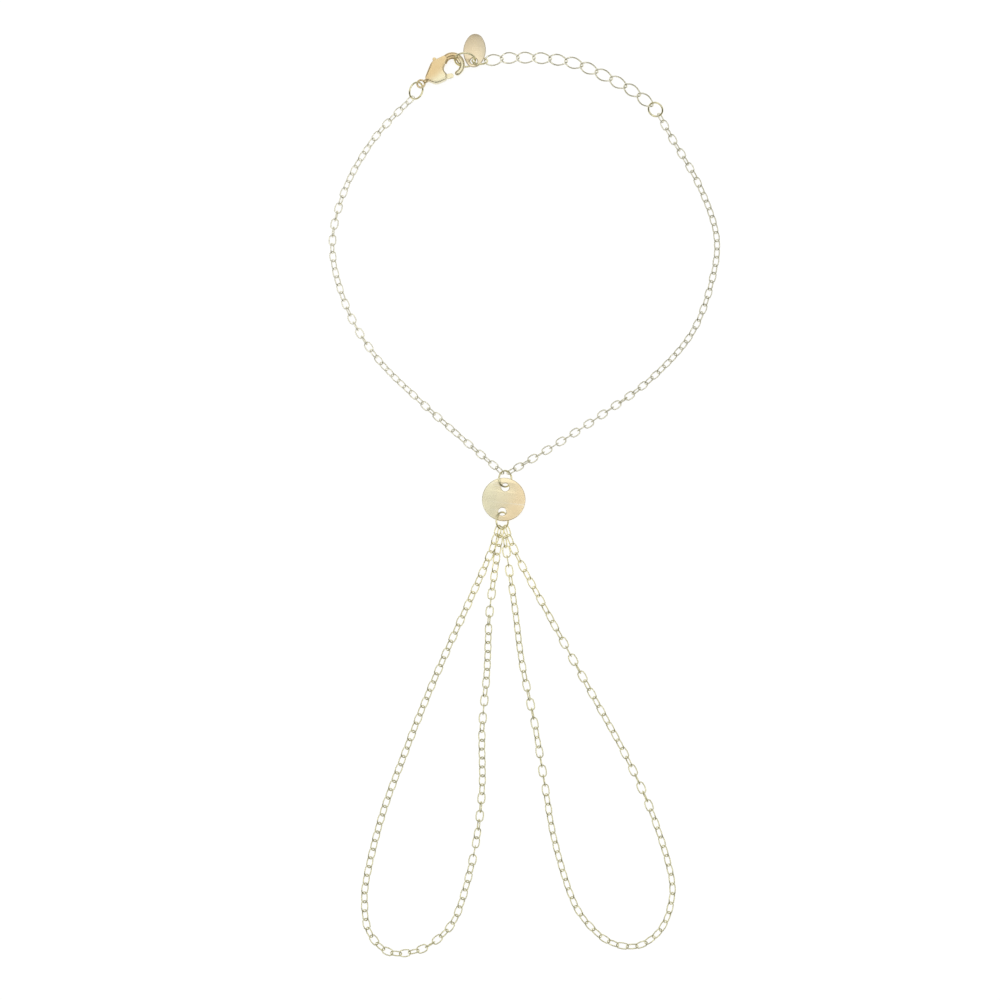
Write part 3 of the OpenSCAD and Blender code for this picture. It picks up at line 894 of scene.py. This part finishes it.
@dataclass
class Plate:
    """A flat plate with round holes and softly rounded edges, in millimetres."""

    # Steps across a rounded edge, and the angle from which an edge stays sharp
    EDGE_STEPS = 3
    SHARP_ANGLE = 50.0
    HOLE_STEPS = 40

    node: str
    thickness: float
    edge: float
    slot: str = "plate_metal"

    def outline(self) -> list[list[Vector]]:
        """The outer edge and then each hole, as closed lists of plan points in millimetres."""
        raise NotImplementedError

    def placing(self) -> Matrix:
        """The plate's turn and place, in millimetres."""
        raise NotImplementedError

    @staticmethod
    def circle(radius: float, centre: Vector, count: int) -> list[Vector]:
        """As many plan points of a circle as are asked for."""
        return [
            centre + radius * Vector((math.cos(math.tau * k / count), math.sin(math.tau * k / count)))
            for k in range(count)
        ]

    def build(self, finish: Material) -> None:
        """Makes the plate from its outline, with rounded edges.

        Args:
            finish: The plate's material.
        """
        curve = bpy.data.curves.new(self.node + "_outline", "CURVE")
        curve.dimensions = "2D"
        curve.fill_mode = "BOTH"
        curve.extrude = (self.thickness / 2 - self.edge) * MM
        curve.bevel_depth = self.edge * MM
        curve.bevel_resolution = self.EDGE_STEPS
        curve.offset = -self.edge * MM
        for ring in self.outline():
            spline = curve.splines.new("POLY")
            spline.points.add(len(ring) - 1)
            for point, place in zip(spline.points, ring):
                point.co = (place.x * MM, place.y * MM, 0.0, 1.0)
            spline.use_cyclic_u = True
        source = loose_object(self.node + "_outline", curve)
        piece = plain_mesh_object(self.node + "_plate", source)
        shape = bmesh.new()
        shape.from_mesh(piece.data)
        bmesh.ops.remove_doubles(shape, verts=shape.verts, dist=MERGE_NEAR)
        bmesh.ops.transform(shape, matrix=self._metres(self.placing()), verts=shape.verts)
        bmesh.ops.recalc_face_normals(shape, faces=shape.faces)
        shape.to_mesh(piece.data)
        shape.free()
        self._smooth_edges(piece)
        dress(piece, finish, self.slot, BODY, self.node)

    @staticmethod
    def _metres(placing: Matrix) -> Matrix:
        """The same turn, with its place in metres.

        Args:
            placing: A turn and a place in millimetres.

        Returns:
            A new matrix.
        """
        turned = placing.to_3x3().to_4x4()
        turned.translation = placing.translation * MM
        return turned

    def _smooth_edges(self, piece: Object) -> None:
        """Shades the rounded edge smoothly and keeps the flats flat."""
        piece.data.shade_smooth()
        piece.data.set_sharp_from_angle(angle=math.radians(self.SHARP_ANGLE))


@dataclass
class Disc(Plate):
    """The round disc, which leans a little between the heights of its two rings."""

    RIM_STEPS = 128

    node: str = "disc"
    thickness: float = 0.4
    edge: float = 0.15
    diameter: float = 8.7
    hole_d: float = 1.6
    rim: float = 1.1
    turn: float = -7.0
    heights: Pair = (0.0, 0.0)

    @property
    def reach(self) -> float:
        """Distance from the disc's centre to either hole."""
        return self.diameter / 2 - self.rim - self.hole_d / 2

    def outline(self) -> list[list[Vector]]:
        """The round edge and the two holes."""
        places = [Vector((0.0, side * self.reach)) for side in (-1, 1)]
        holes = [self.circle(self.hole_d / 2, place, self.HOLE_STEPS) for place in places]
        return [self.circle(self.diameter / 2, Vector((0.0, 0.0)), self.RIM_STEPS), *holes]

    def placing(self) -> Matrix:
        """Leans the disc about X, turns it, and sets it at its CAD node's centre.

        Returns:
            Its turn and place, in millimetres.
        """
        low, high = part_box(self.node)
        top, bottom = self.heights
        slope = -math.asin((bottom - top) / (2 * self.reach))
        turned = Matrix.Rotation(math.radians(self.turn), 4, "Z") @ Matrix.Rotation(slope, 4, "X")
        turned.translation = (low + high) / 2 / MM
        return turned


@dataclass
class Tag(Plate):
    """The oval tag, whose hole hangs on its ring and whose far end lies on the surface.

    The radius of its ends is end_share of its width.
    """

    ARC_STEPS = 24

    node: str = "tag"
    thickness: float = 0.4
    edge: float = 0.15
    width: float = 4.5
    length: float = 7.2
    hole_d: float = 1.4
    rim: float = 0.6
    turn: float = -4.0
    end_share: float = 0.36
    hole: Vector = field(default_factory=lambda: Vector((0.0, 0.0, 0.0)))

    @property
    def hole_from_middle(self) -> float:
        """Distance from the oval's middle to its hole."""
        return self.length / 2 - self.rim - self.hole_d / 2

    def outline(self) -> list[list[Vector]]:
        """An oval of four arcs that meet smoothly, seen from its hole, and the hole.

        Returns:
            Both outlines.
        """
        end_r = self.end_share * self.width
        end_y = self.length / 2 - end_r
        half = self.width / 2
        side_x = (end_y ** 2 - (half - end_r) ** 2) / (self.width - 2 * end_r)
        side_r = half + side_x
        meet = math.asin(end_y / (side_r - end_r))
        oval: list[Vector] = []
        arcs = [
            (Vector((-side_x, 0.0)), side_r, -meet, meet),
            (Vector((0.0, end_y)), end_r, meet, math.pi - meet),
            (Vector((side_x, 0.0)), side_r, math.pi - meet, math.pi + meet),
            (Vector((0.0, -end_y)), end_r, math.pi + meet, math.tau - meet)
        ]
        for centre, radius, first, last in arcs:
            for k in range(self.ARC_STEPS):
                a = first + (last - first) * k / self.ARC_STEPS
                oval.append(centre + radius * Vector((math.cos(a), math.sin(a))))
        shift = Vector((0.0, self.hole_from_middle))
        return [[p + shift for p in oval], self.circle(self.hole_d / 2, Vector((0.0, 0.0)), self.HOLE_STEPS)]

    def placing(self) -> Matrix:
        """Slopes the tag from its hole down to the surface.

        Returns:
            Its turn and place, in millimetres.
        """
        reach = self.length - self.rim - self.hole_d / 2
        slope = math.asin((self.hole.z - self.thickness / 2) / reach)
        turned = Matrix.Rotation(math.radians(self.turn), 4, "Z") @ Matrix.Rotation(-slope, 4, "X")
        turned.translation = self.hole
        return turned


# The clasp

@dataclass
class LobsterClasp:
    """The clasp's cast body, its lever and its rivet, softened from the CAD solids as polishing does.

    The body is also polished round near crown_at, a place from the eyelet along the clasp. Lengths are in
    millimetres, and softening and crowning count passes.
    """

    voxel: float = 0.055
    lever_voxel: float = 0.035
    softening: int = 6
    smoothing: float = 0.5
    eyelet: Pair = (-20.7, 82.3)
    turn: float = 29.0
    crown_at: Pair = (3.7, 0.1)
    crown_reach: float = 2.4
    crowning: int = 90

    def soften(self, nodes: Sequence[str], name: str, voxel: float) -> Object:
        """Copies CAD solids, joins them and rounds their edges.

        Args:
            nodes: The CAD nodes.
            name: The new piece's name.
            voxel: Grain of the new surface, in millimetres.

        Returns:
            The plain softened object.
        """
        mesh = bpy.data.meshes.new(name)
        shape = bmesh.new()
        for node in nodes:
            shape.from_mesh(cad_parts[node].data)
        bmesh.ops.remove_doubles(shape, verts=shape.verts, dist=MERGE_NEAR)
        shape.to_mesh(mesh)
        shape.free()
        source = loose_object(name + "_cast", mesh)
        cast = source.modifiers.new("cast", "REMESH")
        cast.mode = "VOXEL"
        cast.voxel_size = voxel * MM
        cast.use_smooth_shade = True
        polish = source.modifiers.new("polish", "SMOOTH")
        polish.factor = self.smoothing
        polish.iterations = self.softening
        piece = plain_mesh_object(name, source)
        piece.data.shade_smooth()
        return piece

    def crown(self, piece: Object) -> None:
        """Polishes the body round near its middle, as a cast clasp is, and leaves the hook and the eyelet.

        Args:
            piece: The softened body.
        """
        a = math.radians(self.turn)
        x, y = self.crown_at
        turned = Vector((x * math.cos(a) - y * math.sin(a), x * math.sin(a) + y * math.cos(a)))
        middle = Vector(self.eyelet) + turned
        shape = bmesh.new()
        shape.from_mesh(piece.data)
        near = [v for v in shape.verts if (v.co.xy / MM - middle).length < self.crown_reach]
        for _ in range(self.crowning):
            bmesh.ops.smooth_vert(
                shape, verts=near, factor=self.smoothing, use_axis_x=True, use_axis_y=True, use_axis_z=True
            )
        shape.to_mesh(piece.data)
        shape.free()

    def build(self, finish: Material) -> None:
        """Makes the clasp's pieces.

        Args:
            finish: The clasp's material.
        """
        body = self.soften(("clasp_body", "clasp_pin"), "clasp_casting", self.voxel)
        lever = self.soften(("clasp_lever",), "clasp_gate", self.lever_voxel)
        self.crown(body)
        dress(body, finish, "clasp_metal", BODY, "clasp_body", "clasp_pin")
        dress(lever, finish, "clasp_metal", LEVER_BODY, "clasp_lever")


# The whole piece

class Bracelet:
    """Rings, chains, plates and clasp in their places."""

    def __init__(self, trees: WireTrees, finishes: Finishes) -> None:
        """Places the rings, and everything that hangs between them.

        Args:
            trees: The Geometry Nodes trees.
            finishes: The materials.
        """
        self.trees = trees
        self.finishes = finishes
        self.clasp_ring = JumpRing("clasp_ring", turn=62, lean=48, outer=3.8, seam_at=100)
        self.tag_ring = JumpRing("tag_ring", turn=-2, lean=58, outer=4.5, seam_at=80)
        self.start_ring = JumpRing("extender_start_ring", turn=-2, lean=-56, outer=3.4, seam_at=250)
        self.end_ring = JumpRing("extender_end_ring", turn=-35, lean=35, outer=3.3, seam_at=80)
        self.disc_top = JumpRing("disc_ring_top", turn=90, lean=39, outer=3.6, seam_at=250)
        self.disc_bottom = JumpRing("disc_ring_bottom", turn=90, lean=46, outer=3.8, seam_at=80)

    def rings(self) -> list[JumpRing]:
        """All jump rings."""
        clasp_end = [self.clasp_ring, self.tag_ring, self.start_ring, self.end_ring]
        return [*clasp_end, self.disc_top, self.disc_bottom]

    def chains(self) -> list[LinkChain]:
        """The wrist chains, the extender and the two finger loops.

        Returns:
            All five chains, between their rings.
        """
        hang = self.disc_bottom.point
        return [
            LinkChain(
                "chain_wrist_left", self.clasp_ring.point(180), self.disc_top.point(34), ROUTE_WRIST_LEFT,
                pitch=1.65, width=1.7, rolls=SwayingRoll(40, 60, -28, -18, 4)
            ),
            LinkChain(
                "chain_wrist_right", self.end_ring.point(-24), self.disc_top.point(-38), ROUTE_WRIST_RIGHT,
                pitch=1.65, width=1.7, rolls=SwayingRoll(122, 62, 38, -10, 3)
            ),
            LinkChain(
                "extender_chain", self.start_ring.point(0), self.end_ring.point(170), ROUTE_EXTENDER,
                pitch=3.25, width=2.45, wire=EXTENDER_WIRE, play=EXTENDER_PLAY, style=LinkStyle.TWISTED,
                sides=20, wire_sides=8
            ),
            LinkChain(
                "finger_loop_left", hang(144), hang(168), ROUTE_FINGER_LEFT,
                pitch=1.79, width=1.75, rolls=ROLLS_FINGER_LEFT, flatten=16.0
            ),
            LinkChain(
                "finger_loop_right", hang(192), hang(216), ROUTE_FINGER_RIGHT,
                pitch=1.93, width=1.75, rolls=ROLLS_FINGER_RIGHT
            ),
        ]

    def tag_hole(self) -> Vector:
        """The tag's hole: two rings pass through it side by side, and it lies between their heights.

        Returns:
            The hole's middle, in millimetres.
        """
        height = (self.tag_ring.centre.z + self.start_ring.centre.z) / 2
        at_ring = self.tag_ring.point(self.tag_ring.height_angle(height))
        return Vector((at_ring.x - (RING_WIRE + LINK_PLAY) / 2, at_ring.y, height))

    def build(self) -> None:
        """Makes every piece."""
        for ring in self.rings():
            ring.build(self.trees, self.finishes.ring)
        for chain in self.chains():
            finger = chain.node.startswith("finger")
            chain.build(self.trees, self.finishes.finger if finger else self.finishes.chain)
        Disc(heights=(self.disc_top.centre.z, self.disc_bottom.centre.z)).build(self.finishes.disc)
        Tag(hole=self.tag_hole()).build(self.finishes.tag)
        LobsterClasp().build(self.finishes.clasp)


# Floor, light and camera

@dataclass
class Studio:
    """A white surface under soft studio light, seen from straight above as in the photograph.

    Lengths are in millimetres, but in metres for the lamps. The sky turns from walls to overhead as a
    direction's Z crosses rise_span, and from near wall to far wall as its Y crosses wall_span.
    """

    frame_width: float = 200.0
    centre: Pair = (-4.9, -0.9)
    focus_height: float = 1.0
    lens: float = 100.0
    sensor: float = 36.0
    nearest: float = 10.0
    floor_size: float = 4000.0
    floor_drop: float = 0.02
    floor_tone: float = 0.28
    floor_roughness: float = 0.9
    floor_shine: float = 0.1
    floor_glow: float = 0.84
    overhead: Triple = (0.92, 0.92, 0.92)
    near_wall: Triple = (0.10, 0.10, 0.10)
    far_wall: Triple = (0.40, 0.40, 0.405)
    rise_span: Pair = (0.80, 0.97)
    wall_span: Pair = (-0.7, 0.1)
    lamp_ways: tuple[float, ...] = (90.0, 200.0, 340.0)
    lamp_lean: float = 32.0
    lamp_distance: float = 1.0
    lamp_size: float = 0.6
    lamp_power: float = 1.2

    def floor(self) -> None:
        """Makes the pale floor just under the piece: a white light table, which leaves hardly a shadow."""
        half = self.floor_size / 2 * MM
        depth = CAD_BOX[0].z - self.floor_drop * MM
        mesh = bpy.data.meshes.new("floor")
        mesh.from_pydata(
            [(-half, -half, depth), (half, -half, depth), (half, half, depth), (-half, half, depth)],
            [], [(0, 1, 2, 3)]
        )
        floor = loose_object("floor", mesh)
        paint = bpy.data.materials.new("white_surface")
        paint.use_nodes = True
        shader = paint.node_tree.nodes["Principled BSDF"]
        shader.inputs["Base Color"].default_value = (self.floor_tone, self.floor_tone, self.floor_tone, 1.0)
        shader.inputs["Roughness"].default_value = self.floor_roughness
        shader.inputs["Specular IOR Level"].default_value = self.floor_shine
        shader.inputs["Emission Color"].default_value = (1.0, 1.0, 1.0, 1.0)
        shader.inputs["Emission Strength"].default_value = self.floor_glow
        mesh.materials.append(paint)

    def sky(self) -> None:
        """Lights the room softly: white overhead, and walls that are darkest on the near side."""
        world = bpy.data.worlds.new("studio")
        world.use_nodes = True
        world.node_tree.nodes.clear()
        build = TreeBuilder(world.node_tree)
        way = build.add("ShaderNodeSeparateXYZ", {0: build.add("ShaderNodeTexCoord").outputs["Generated"]})
        rise = build.span(way.outputs["Z"], self.rise_span, curve="SMOOTHSTEP")
        depth = build.span(way.outputs["Y"], self.wall_span)
        wall = build.mix(depth, (*self.near_wall, 1.0), (*self.far_wall, 1.0))
        light = build.add("ShaderNodeBackground", {"Color": build.mix(rise, wall, (*self.overhead, 1.0))})
        build.add("ShaderNodeOutputWorld", {"Surface": light.outputs["Background"]})
        bpy.context.scene.world = world

    def lamp(self, way: float) -> None:
        """Adds one of the square soft lights that stand around the piece and face it.

        Args:
            way: The direction in plan in which the light stands, in degrees.
        """
        light = bpy.data.lights.new(f"soft_light_{way:.0f}", "AREA")
        light.size = self.lamp_size
        light.energy = self.lamp_power
        lamp = loose_object(light.name, light)
        lean, a = math.radians(self.lamp_lean), math.radians(way)
        flat, rise = self.lamp_distance * math.sin(lean), self.lamp_distance * math.cos(lean)
        lamp.location = (flat * math.cos(a), flat * math.sin(a), rise)
        lamp.rotation_euler = (-lamp.location).to_track_quat("-Z", "Y").to_euler()

    def camera(self) -> None:
        """Sets the camera straight above the photograph's centre."""
        data = bpy.data.cameras.new("camera")
        data.lens = self.lens
        data.sensor_width = self.sensor
        data.clip_start = self.nearest * MM
        camera = loose_object("camera", data)
        distance = self.frame_width * self.lens / self.sensor
        x, y = self.centre
        camera.location = (x * MM, y * MM, (distance + self.focus_height) * MM)
        bpy.context.scene.camera = camera

    def build(self) -> None:
        """Makes the whole studio."""
        self.camera()
        self.floor()
        self.sky()
        for way in self.lamp_ways:
            self.lamp(way)
        bpy.context.scene.view_settings.view_transform = "Standard"
        bpy.context.scene.view_settings.look = "None"


def main() -> None:
    """Builds the studio and the bracelet."""
    logging.basicConfig(level=logging.INFO, format="%(name)s: %(message)s", stream=sys.stdout)
    Studio().build()
    Bracelet(WireTrees(), Finishes(Effects())).build()


if __name__ == "__main__":
    main()
